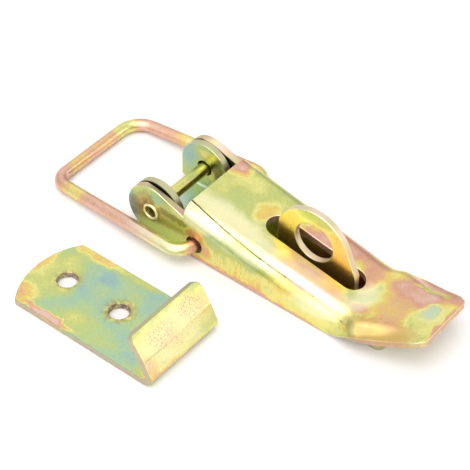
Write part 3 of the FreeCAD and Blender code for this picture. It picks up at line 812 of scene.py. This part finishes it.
def rounded_path(points, radii, turn=6.0):
    """Points along straight lines joined by tangent arcs, a step for about every turn degrees."""
    out = [Vector(points[0])]
    for i in range(1, len(points) - 1):
        p = Vector(points[i])
        u = (Vector(points[i - 1]) - p).normalized()
        w = (Vector(points[i + 1]) - p).normalized()
        half = u.angle(w) / 2
        run = radii[i - 1] / math.tan(half)
        centre = p + (u + w).normalized() * (radii[i - 1] / math.sin(half))
        start = p + u * run - centre
        axis = start.cross(p + w * run - centre).normalized()
        total = math.pi - 2 * half
        n = max(4, round(math.degrees(total) / turn))
        out += [centre + Matrix.Rotation(total * k / n, 3, axis) @ start for k in range(n + 1)]
    return out + [Vector(points[-1])]


def sweep(bm, path, radius, up, steps=40, tip=0.25, stretch=2.5):
    """A round wire along the path, with small chamfers at both ends and no long straight faces."""
    first, last = path[0], path[-1]
    inward0 = (path[1] - first).normalized() * tip
    inward1 = (path[-2] - last).normalized() * tip
    stations = [(first, 0.0), (first, radius - tip), (first + inward0, radius)]
    for a, b in zip(path[1:-1], path[2:]):
        stations.append((a, radius))
        n = math.floor((b - a).length / stretch)
        stations += [(a.lerp(b, k / (n + 1)), radius) for k in range(1, n + 1)] if b is not last else []
    stations += [(last + inward1, radius), (last, radius - tip), (last, 0.0)]
    rings = []
    for i, (place, r) in enumerate(stations):
        if r == 0:
            rings.append([bm.verts.new(place)])
            continue
        before = next((q for q, _ in reversed(stations[:i]) if (q - place).length > 1e-6), None)
        after = next((q for q, _ in stations[i + 1:] if (q - place).length > 1e-6), None)
        ahead = ((after - place).normalized() if after else Vector()) + (
            (place - before).normalized() if before else Vector())
        ahead.normalize()
        side = ahead.cross(up).normalized()
        rings.append([bm.verts.new(place + side * r * math.cos(t) + up * r * math.sin(t))
                      for t in (2 * math.pi * k / steps for k in range(steps))])
    for a, b in zip(rings, rings[1:]):
        join_rings(bm, a, b)


def build_bail(finish):
    points = [(0, -BAIL_TIP, 0), (0, -BAIL_HALF_HINGE, 0), (-BAIL_REACH, -BAIL_HALF_BAR, 0),
              (-BAIL_REACH, BAIL_HALF_BAR, 0), (0, BAIL_HALF_HINGE, 0), (0, BAIL_TIP, 0)]
    radii = [BAIL_BEND_R, *BAIL_CORNER_R, BAIL_FAR_BEND_R]
    bm = bmesh.new()
    sweep(bm, rounded_path(points, radii), WIRE_R, Vector((0, 0, 1)))
    drop = -math.asin((BAIL_Z - WIRE_R) / BAIL_REACH)
    bm.transform(Matrix.Translation((BAIL_X, BAIL_SIDE_SHIFT, BAIL_Z)) @ Matrix.Rotation(drop, 4, "Y"))
    bmesh.ops.recalc_face_normals(bm, faces=bm.faces)
    mark_sharp(bm, 35)
    material = zinc_material("bail_zinc", finish, 0.88, [
        ((-31.6, 4, 3), (3, 7, 4), 0.66, 0.6),
        ((-31, 12, 3), (4, 4, 5), 0.4, 0.8),
        ((-31, -6, 3), (4, 4, 5), 0.5, 0.6),
        ((-24, -15, 3), (4, 4, 5), 0.4, 0.6),
        ((-12, 19, 4), (6, 4, 5), 0.42, 0.7),
        ((9, -17, 4), (7, 4, 4), 0.4, 0.85),
        ((11, 18, 4), (6, 5, 4), 0.5, 0.9),
    ], blotch=0.16, mottle=0.08, speckle=0.4, grain=(0.4, 1, 1),
        # paler all over and near the near hinge: painted highlight
        worn=[((-12, 1, 4), (30, 30, 8), 0.1), ((5, -17, 5), (9, 4, 3), 0.5)])
    finish_piece("bail_wire", bm, None, material, "bail", "wire_bail")


# Catch plate

def catch_runs():
    """Plate, bend, hook, its crease and its tip, as runs."""
    r = CATCH_BEND_R
    lean, lean2 = math.radians(HOOK_LEAN), math.radians(HOOK_LEAN_TOP)
    bend_top = r * (1 + math.sin(lean))
    turn = HOOK_CREASE_R * (lean2 - lean)
    leg = (HOOK_CREASE_Z - bend_top) / math.cos(lean) - turn / 2
    tip = (HOOK_TOP_Z - HOOK_CREASE_Z) / math.cos(lean2) - turn / 2
    flat = CATCH_END_X - r - CATCH_APEX_X
    return [(flat, 0), (r * (math.pi / 2 + lean), r), (leg, 0), (turn, HOOK_CREASE_R), (tip, 0)]


def catch_shape(x, y, w):
    depth = w + CATCH_T / 2
    s = x - CATCH_APEX_X
    if s < 0:
        return Vector((x, y, depth))
    p, q = follow(s, depth, catch_runs())
    return Vector((CATCH_APEX_X + p, y, q))


def build_catch(finish):
    runs = catch_runs()
    end = CATCH_APEX_X + sum(length for length, _ in runs)
    rise, half, r = CATCH_ARC_RISE, CATCH_HALF, HOOK_CORNER_R
    arc_r = (half * half + rise * rise) / (2 * rise)
    swing = math.degrees(math.asin(half / arc_r))
    outline = arc_points(CATCH_APEX_X + arc_r, CATCH_Y, arc_r, 180 - swing, 180 + swing, 30)
    outline += arc_points(end - r, CATCH_Y - half + r, r, 270, 360, 10)
    outline += arc_points(end - r, CATCH_Y + half - r, r, 0, 90, 10)
    holes = [circle_points(x, y, CATCH_HOLE_R, 48) for x, y in CATCH_HOLES]
    bm = blank([divide(outline, 1.5)] + holes, CATCH_T, EDGE)
    bend = CATCH_APEX_X + runs[0][0]
    crease = bend + runs[1][0] + runs[2][0]
    slice_across(bm, "x", [bend + runs[1][0] * i / 18 for i in range(19)]
                 + [crease + runs[3][0] * i / 3 for i in range(4)] + [-8.0, 0.0, 6.0, 18.0, 24.0])
    normals = fold(bm, CATCH_T, EDGE, catch_shape)
    dark_tint, wall = (0.25, 0.17, 0.12), (0.16, 0.09, 0.08)
    # darker rings round the holes, their dark walls, the cut's own colour with painted shade, and painted
    # shade along the hook's crease
    lines = [((x, y, CATCH_T), (x + 0.1, y, CATCH_T), 4.4, dark_tint, amount)
             for (x, y), amount in zip(CATCH_HOLES, (0.25, 0.6))]
    lines += [((x, y, 1.2), (x, y, 0), SCREW_R + 0.35, wall, 0.8) for x, y in CATCH_HOLES]
    lines += [((30.9, -51, 9.3), (32.7, -28, 8.4), 0.5, dark_tint, 0.3),
              ((31.4, -51, 7.4), (32.5, -36, 7.2), 0.4, dark_tint, 0.25)]
    material = zinc_material("catch_zinc", finish, 0.18, [
        ((-9, -40, 1.8), (7, 12, 4), 0.43),
        ((-4, -28.4, 1.8), (9, 2.0, 3), 0.66),
        ((10, -28.2, 1.8), (9, 1.4, 3), 0.5, 0.7),
        ((-13.2, -36, 1.8), (1.4, 8, 4), 0.7, 0.8),
        ((-10.5, -48.6, 1.8), (4.6, 3.6, 4), 0.76),
        ((10, -48, 1.8), (12, 3.6, 4), 0.34),
        ((4, -33, 1.8), (3.4, 2.4, 3), 0.04, 0.9),
        ((1, -40, 1.8), (2, 2.4, 3), 0.08, 0.8),
        ((18, -32, 1.8), (5, 4, 3), 0.1, 0.9),
        ((0, -51, 1.8), (9, 1.3, 3), 0.98),
        ((-4.3, -39, 1.8), (3.6, 3.6, 3), 0.6, 0.7),
        ((12.5, -39, 1.8), (3.8, 3.8, 3), 0.78, 0.9),
        ((31, -40, 9), (6, 22, 9), 0.57),
        ((33.4, -41, 2.2), (3, 16, 2.0), 0.86, 0.75),
        ((33.4, -36, 3.4), (3, 9, 1.4), 0.4, 0.7),
        ((32, -50, 5), (3, 2, 3), 0.92, 0.5),
    ], blotch=0.22, mottle=0.1, speckle=0.3,
        speckled=[((30, -44, 9.5), (4, 4.5, 3), 1.0), ((30, -33, 10), (4, 3.5, 3), 1.0)],
        # paler on the hook's face: painted highlight
        worn=[((31, -40, 8), (5, 16, 7), 0.35)],
        corner=0.6, corner_tint=(0.2, 0.15, 0.11), cut=(0.52, 0.44, 0.34), lines=lines)
    finish_piece("catch_pressing", bm, normals, material, "base", "catch_plate")


# Stage

def make_camera(view):
    """A camera at the photograph's angle and distance, looking at the target."""
    a, e, r = view.azimuth, view.elevation, view.roll
    back = Vector((math.sin(a) * math.cos(e), -math.cos(a) * math.cos(e), math.sin(e)))
    right = Vector((math.cos(a), math.sin(a), 0))
    up = back.cross(right)
    right, up = right * math.cos(r) + up * math.sin(r), up * math.cos(r) - right * math.sin(r)
    place = Vector(view.target) + back * view.distance
    camera = bpy.data.objects.new("camera", bpy.data.cameras.new("camera"))
    camera.data.lens = view.lens
    camera.data.sensor_width = 36
    camera.data.clip_start = 0.01
    camera.matrix_world = Matrix((
        (right.x, up.x, back.x, place.x),
        (right.y, up.y, back.y, place.y),
        (right.z, up.z, back.z, place.z),
        (0, 0, 0, 1)))
    bpy.context.scene.collection.objects.link(camera)
    bpy.context.scene.camera = camera


def make_floor(view):
    """A level pale floor that gives out a little light of its own."""
    bm = bmesh.new()
    bmesh.ops.create_grid(bm, x_segments=6, y_segments=6, size=1.6)
    mesh = bpy.data.meshes.new("floor")
    bm.to_mesh(mesh)
    bm.free()
    floor = bpy.data.objects.new("floor", mesh)
    bpy.context.scene.collection.objects.link(floor)
    material = bpy.data.materials.new("pale_floor")
    material.use_nodes = True
    tree = material.node_tree
    tree.nodes.clear()
    diffuse = add(tree, "ShaderNodeBsdfDiffuse", None, Color=rgba(view.floor_tint))
    glow = add(tree, "ShaderNodeEmission", None, Color=rgba(view.floor_glow), Strength=view.floor_strength)
    both = add(tree, "ShaderNodeAddShader", None, i0=diffuse.outputs[0], i1=glow.outputs[0])
    add(tree, "ShaderNodeOutputMaterial", None, Surface=both.outputs[0])
    mesh.materials.append(material)


ROOM_LEVEL = 0.8
# Soft brighter and darker parts of the room: heading, range of its cosine, light added
ROOM_GLOWS = (
    ((-0.5, 0.57, 0.65), 0.75, 0.96, 0.34),
    ((0.82, 0.57, 0.1), 0.6, 0.95, 0.6),
    ((0.15, -0.75, 0.65), 0.66, 0.94, 1.3),
    ((-0.4, 0.9, 0.1), 0.78, 0.97, -0.25),
)
SIDE_SHARE = 0.1    # power of the side lamp, as a share of the overhead one's
LAMP_AIM = Vector((0.02, 0, 0))


def make_world(view):
    """Pale room for the camera, with soft glows for everything else."""
    world = bpy.data.worlds.new("studio")
    bpy.context.scene.world = world
    world.use_nodes = True
    tree = world.node_tree
    tree.nodes.clear()
    ray = tree.nodes.new("ShaderNodeLightPath")
    room = add(tree, "ShaderNodeBackground", None, Color=(1, 1, 0.995, 1), Strength=1.0)
    heading = tree.nodes.new("ShaderNodeTexCoord").outputs["Generated"]
    level = ROOM_LEVEL
    for toward, low, high, more in ROOM_GLOWS:
        facing = vector_node(tree, "DOT_PRODUCT", heading, Vector(toward).normalized())
        level = math_node(tree, "ADD", smooth_range(tree, facing, low, high, 0.0, more), level)
    level = times(tree, level, view.room_strength)
    soft = add(tree, "ShaderNodeBackground", None, Color=(1, 1, 1, 1), Strength=level)
    pick = add(tree, "ShaderNodeMixShader", None,
               Fac=ray.outputs["Is Camera Ray"], i1=soft.outputs[0], i2=room.outputs[0])
    add(tree, "ShaderNodeOutputWorld", None, Surface=pick.outputs[0])


def soft_lamp(name, place, size, power):
    """A large soft lamp turned to the latch."""
    lamp = bpy.data.lights.new(name, "AREA")
    lamp.energy = power
    lamp.shape = "RECTANGLE"
    lamp.size, lamp.size_y = size
    holder = bpy.data.objects.new(name, lamp)
    turn = (LAMP_AIM - Vector(place)).to_track_quat("-Z", "Y")
    holder.matrix_world = Matrix.Translation(place) @ turn.to_matrix().to_4x4()
    bpy.context.scene.collection.objects.link(holder)


def build_stage(view):
    make_floor(view)
    make_world(view)
    soft_lamp("overhead", (0.0, -0.12, 0.75), (0.75, 0.6), view.lamp_power)
    soft_lamp("side", (0.75, 0.35, 0.4), (0.5, 0.4), view.lamp_power * SIDE_SHARE)
    make_camera(view)
    bpy.context.scene.view_settings.view_transform = "Standard"


def colour_property(name, description, default):
    return FloatVectorProperty(name=name, description=description, default=default,
                               subtype="COLOR", min=0, max=1)


def number_property(name, description, default, **kind):
    return FloatProperty(name=name, description=description, default=default, **kind)


class LatchFinish(bpy.types.PropertyGroup):
    """Colours of the film, from the thinnest to the thickest, and of its rubbed places, painted highlights
    and cut places.
    """
    film_blue: colour_property("Blue", "Thinnest film", (0.30, 0.42, 0.46))
    film_teal: colour_property("Teal", "Film between blue and green", (0.34, 0.52, 0.42))
    film_green: colour_property("Green", "Green film", (0.44, 0.57, 0.27))
    film_lime: colour_property("Lime", "Film between green and yellow", (0.55, 0.58, 0.19))
    film_yellow: colour_property("Yellow", "Pale yellow film", (0.80, 0.75, 0.27))
    film_gold: colour_property("Gold", "Golden film", (0.77, 0.57, 0.15))
    film_orange: colour_property("Orange", "Orange film", (0.74, 0.47, 0.24))
    film_pink: colour_property("Pink", "Pink film", (0.68, 0.35, 0.24))
    film_rose: colour_property("Rose", "Thickest film", (0.76, 0.50, 0.42))
    # bare zinc is also the colour of the painted highlights on the folds, the hook, the wire and the cut
    # edges
    bare_zinc: colour_property("Bare zinc", "Rubbed places and corners", (0.96, 0.93, 0.70))
    cut_edge: colour_property("Cut edge", "Sheared walls of the sheet", (0.66, 0.44, 0.36))
    dark_tint: colour_property("Stain", "Small dull specks", (0.34, 0.22, 0.10))
    roughness: number_property("Roughness", "Of the film", 0.3, min=0, max=1, subtype="FACTOR")


class LatchView(bpy.types.PropertyGroup):
    """Camera, floor and light."""
    azimuth: number_property("Azimuth", "Direction the camera stands in", math.radians(38.24),
                             subtype="ANGLE")
    elevation: number_property("Elevation", "Height of the camera above the horizon",
                               math.radians(43.69), subtype="ANGLE")
    roll: number_property("Roll", "Turn of the picture", math.radians(0.63), subtype="ANGLE")
    distance: number_property("Distance", "From the camera to its target", 0.42185, unit="LENGTH")
    lens: number_property("Lens", "Focal length", 128.19, unit="CAMERA")
    target: FloatVectorProperty(name="Target", description="Point the camera looks at",
                                default=(0.01633, 0.0005, 0.0), subtype="TRANSLATION", unit="LENGTH")
    floor_tint: colour_property("Floor", "Colour of the floor", (0.78, 0.762, 0.755))
    floor_glow: colour_property("Floor glow", "Light the floor gives out", (1.0, 1.0, 0.995))
    floor_strength: number_property("Floor strength", "Strength of the floor's light", 0.05)
    room_strength: number_property("Room strength", "Light from all around", 1.0)
    lamp_power: number_property("Lamp power", "Of the overhead lamp", 2.5, unit="POWER")


# Operators

class LATCH_OT_lever(bpy.types.Operator):
    """Fold the lever from its blank"""
    bl_idname = "latch.lever"
    bl_label = "Lever"

    def execute(self, context):
        build_lever(context.scene.latch_finish)
        return {"FINISHED"}


class LATCH_OT_base(bpy.types.Operator):
    """Fold the base plate and its ears"""
    bl_idname = "latch.base"
    bl_label = "Base"

    def execute(self, context):
        build_base(context.scene.latch_finish)
        return {"FINISHED"}


class LATCH_OT_eye(bpy.types.Operator):
    """Cut the padlock eye"""
    bl_idname = "latch.eye"
    bl_label = "Padlock eye"

    def execute(self, context):
        build_eye(context.scene.latch_finish)
        return {"FINISHED"}


class LATCH_OT_rivet(bpy.types.Operator):
    """Turn the pivot rivet"""
    bl_idname = "latch.rivet"
    bl_label = "Pivot rivet"

    def execute(self, context):
        build_rivet(context.scene.latch_finish)
        return {"FINISHED"}


class LATCH_OT_bail(bpy.types.Operator):
    """Bend the wire bail"""
    bl_idname = "latch.bail"
    bl_label = "Wire bail"

    def execute(self, context):
        build_bail(context.scene.latch_finish)
        return {"FINISHED"}


class LATCH_OT_catch(bpy.types.Operator):
    """Fold the catch plate"""
    bl_idname = "latch.catch"
    bl_label = "Catch plate"

    def execute(self, context):
        build_catch(context.scene.latch_finish)
        return {"FINISHED"}


class LATCH_OT_stage(bpy.types.Operator):
    """Set the floor, the light and the camera"""
    bl_idname = "latch.stage"
    bl_label = "Stage"

    def execute(self, context):
        build_stage(context.scene.latch_view)
        return {"FINISHED"}


PIECES = (LATCH_OT_lever, LATCH_OT_base, LATCH_OT_eye, LATCH_OT_rivet, LATCH_OT_bail, LATCH_OT_catch,
          LATCH_OT_stage)


class LATCH_PT_panel(bpy.types.Panel):
    """The latch's pieces, finish and stage"""
    bl_idname = "LATCH_PT_panel"
    bl_label = "Over centre toggle latch"
    bl_space_type = "VIEW_3D"
    bl_region_type = "UI"
    bl_category = "Latch"

    def draw(self, context):
        for piece in PIECES:
            self.layout.operator(piece.bl_idname)
        for settings in (context.scene.latch_finish, context.scene.latch_view):
            box = self.layout.box()
            for name in settings.bl_rna.properties.keys():
                if name not in ("rna_type", "name"):
                    box.prop(settings, name)


CLASSES = (LatchFinish, LatchView) + PIECES + (LATCH_PT_panel,)


def register():
    for cls in CLASSES:
        bpy.utils.register_class(cls)
    bpy.types.Scene.latch_finish = PointerProperty(type=LatchFinish)
    bpy.types.Scene.latch_view = PointerProperty(type=LatchView)


def unregister():
    del bpy.types.Scene.latch_view
    del bpy.types.Scene.latch_finish
    for cls in reversed(CLASSES):
        bpy.utils.unregister_class(cls)


def main():
    register()
    bpy.ops.latch.lever()
    bpy.ops.latch.base()
    bpy.ops.latch.eye()
    bpy.ops.latch.rivet()
    bpy.ops.latch.bail()
    bpy.ops.latch.catch()
    bpy.ops.latch.stage()


if __name__ == "__main__":
    main()
